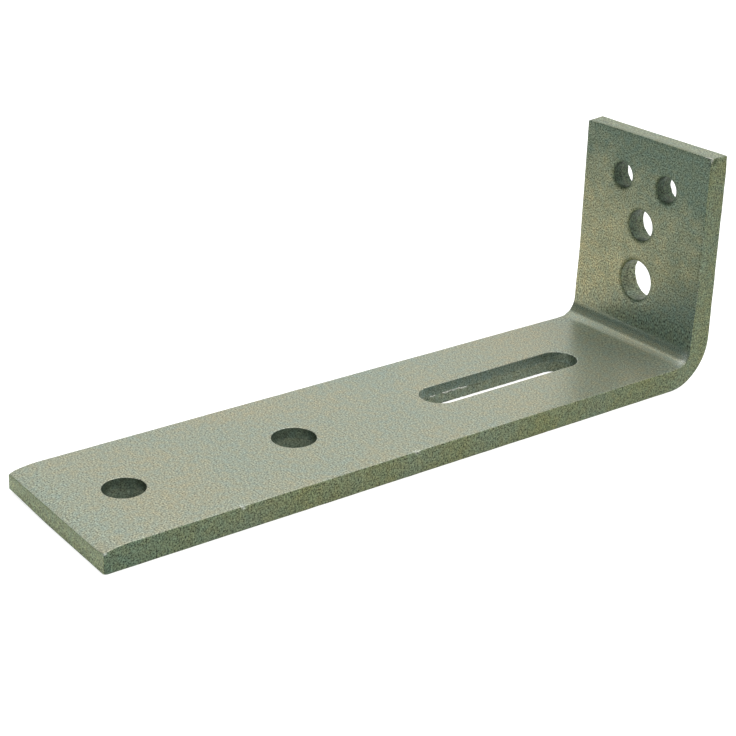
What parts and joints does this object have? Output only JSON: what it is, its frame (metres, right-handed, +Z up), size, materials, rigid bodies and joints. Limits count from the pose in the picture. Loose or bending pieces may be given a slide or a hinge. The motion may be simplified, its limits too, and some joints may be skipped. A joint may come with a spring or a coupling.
{
  "type": "angle anchor",
  "caption": "L-shaped angle anchor folded from flat steel bar, with round holes and a long slot in its flat leg and a cluster of round fixing holes in its short upright leg.",
  "frame": {"origin": "under the middle of the whole anchor, on the plane that the long leg lies on", "axes": "+Y along the long leg towards the upright short leg, +Z up, +X across the bar"},
  "size_m": [0.045, 0.18, 0.0625],
  "materials": {
    "zinc_steel": "dull grey-green zinc coat on hot-rolled bar"
  },
  "bodies": {
    "root": {"angle_anchor": "zinc_steel"}
  },
  "joints": []
}
